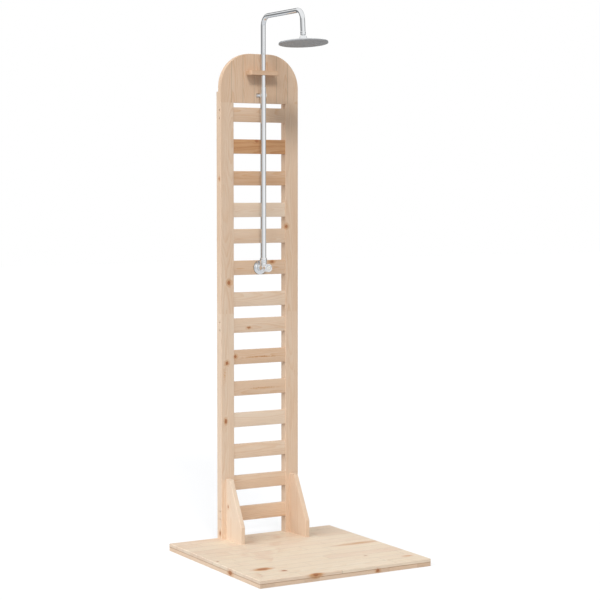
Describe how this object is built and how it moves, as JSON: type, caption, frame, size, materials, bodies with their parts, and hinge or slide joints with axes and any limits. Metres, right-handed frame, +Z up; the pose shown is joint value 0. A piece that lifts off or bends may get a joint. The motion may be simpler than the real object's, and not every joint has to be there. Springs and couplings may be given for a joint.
{
  "type": "outdoor shower post",
  "caption": "Slatted wooden post on a square wooden tray, with a chrome riser, valve knob, swivelling overhead arm and a round rain head on a ball joint.",
  "frame": {"origin": "middle of the tray's underside", "axes": "+X to the right along the tray's front edge, +Y to the back where the post stands, +Z up"},
  "size_m": [0.775, 0.78, 2.228],
  "materials": {
    "pine": "clear satin",
    "chrome": "polished",
    "brass": "machined",
    "screw_steel": "zinc plated",
    "spray_steel": "satin",
    "nozzle_rubber": "matt",
    "seal_rubber": "matt",
    "ring_plastic": "smooth",
    "cartridge_plastic": "moulded",
    "cap_plastic": "glossy"
  },
  "bodies": {
    "post": {"deck_panel": "pine", "tray_batten_1": "pine", "tray_batten_2": "pine", "tray_batten_3": "pine", "tray_batten_4": "pine", "front_filler_1": "pine", "front_filler_2": "pine", "front_filler_3": "pine", "back_filler_1": "pine", "back_filler_2": "pine", "back_filler_3": "pine", "lower_post_left": "pine", "lower_post_right": "pine", "upper_post_left": "pine", "upper_post_right": "pine", "arch_panel": "pine", "slat_01": "pine", "slat_02": "pine", "slat_03": "pine", "slat_04": "pine", "slat_05": "pine", "slat_06": "pine", "slat_07": "pine", "slat_08": "pine", "slat_09": "pine", "slat_10": "pine", "slat_11": "pine", "slat_12": "pine", "slat_13": "pine", "slat_14": "pine", "wedge_left": "pine", "wedge_right": "pine", "pipe_shelf": "pine", "edge_screws": "screw_steel", "long_screws": "screw_steel", "joint_screws": "screw_steel", "shelf_screws": "screw_steel", "clip_screws": "chrome", "pipe_clip": "chrome", "riser_tube": "chrome", "riser_nut": "chrome", "valve_body": "chrome", "back_nut": "brass", "rosette": "chrome", "cartridge": "cartridge_plastic", "bonnet": "chrome"},
    "tap": {"knob": "chrome", "knob_cap": "cap_plastic", "knob_screw": "screw_steel", "spindle": "brass"},
    "arm": {"shower_arm": "chrome", "arm_seal_rings": "seal_rubber", "ball_stem": "chrome"},
    "tilt_ring": {"slip_ring": "ring_plastic"},
    "tilt_seal": {"ball_seal": "seal_rubber"},
    "head": {"retaining_collar": "chrome", "head_shell": "chrome", "spray_plate": "spray_steel", "nozzle_mat": "nozzle_rubber"}
  },
  "joints": [
    {"name": "tap_turn", "type": "hinge", "parent": "post", "child": "tap", "pos_m": [0.021, 0.297, 1.1687], "axis": [0, -1, 0], "range_deg": [0, 90]},
    {"name": "arm_swivel", "type": "hinge", "parent": "post", "child": "arm", "pos_m": [0.021, 0.321, 1.9], "axis": [0, 0, 1], "range_deg": [-90, 90]},
    {"name": "head_tilt_across", "type": "hinge", "parent": "arm", "child": "tilt_ring", "pos_m": [0.021, -0.01078, 2.10423], "axis": [1, 0, 0], "range_deg": [-10, 10]},
    {"name": "head_tilt_along", "type": "hinge", "parent": "tilt_ring", "child": "tilt_seal", "pos_m": [0.021, -0.01078, 2.10423], "axis": [0, 0.9969, -0.0785], "range_deg": [-10, 10]},
    {"name": "head_spin", "type": "hinge", "parent": "tilt_seal", "child": "head", "pos_m": [0.021, -0.01078, 2.10423], "axis": [0, 0.0785, 0.9969], "continuous": true}
  ]
}
